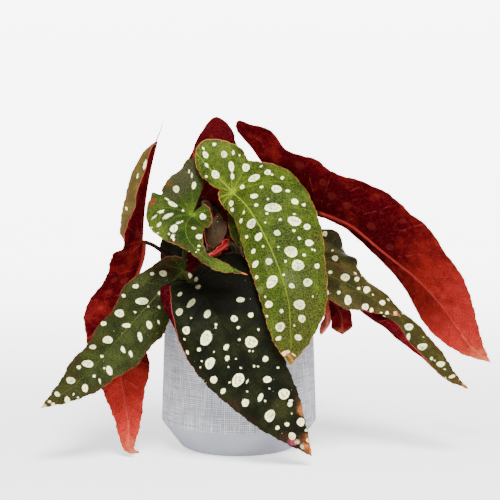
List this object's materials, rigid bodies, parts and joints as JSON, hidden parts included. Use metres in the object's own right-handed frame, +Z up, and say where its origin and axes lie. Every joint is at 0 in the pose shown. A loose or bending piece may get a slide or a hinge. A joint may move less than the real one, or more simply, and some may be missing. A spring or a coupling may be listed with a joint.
{
  "type": "potted polka dot begonia",
  "caption": "Cane begonia with white-spotted, red-backed wing-shaped leaves on upright canes in a plain round grey pot of soil.",
  "frame": {"origin": "middle of the pot's flat foot, on the surface it stands on", "axes": "+Z up out of the pot, +X to the plant's right as seen from its front, -Y towards the viewer at the plant's front"},
  "size_m": [0.3791, 0.2039, 0.2872],
  "materials": {
    "pot": "matte light grey with a fine linen-like texture",
    "soil": "rough dark potting soil",
    "cane": "smooth olive green and brown stem",
    "green_leaf": "glossy mid green with silvery white spots, wine red beneath",
    "dark_leaf": "glossy dark olive green with silvery white spots, wine red beneath",
    "red_leaf": "satin wine red underside with paler veins, green and spotted above",
    "withered_leaf": "dull dry reddish brown"
  },
  "bodies": {
    "root": {"pot": "pot", "soil": "soil", "left_cane": "cane", "middle_cane": "cane", "right_cane": "cane", "front_leaf": "dark_leaf", "left_leaf": "dark_leaf", "centre_leaf": "green_leaf", "left_centre_leaf": "green_leaf", "left_red_leaf": "red_leaf", "right_red_leaf": "red_leaf", "right_leaf": "dark_leaf", "right_small_leaf": "green_leaf", "right_low_red_leaf": "red_leaf", "withered_leaf": "withered_leaf", "back_top_leaf": "red_leaf", "left_inner_leaf": "dark_leaf", "young_leaf": "red_leaf", "middle_young_leaf": "green_leaf", "inner_red_leaf": "red_leaf", "back_right_leaf": "green_leaf", "back_low_leaf": "dark_leaf"}
  },
  "joints": []
}
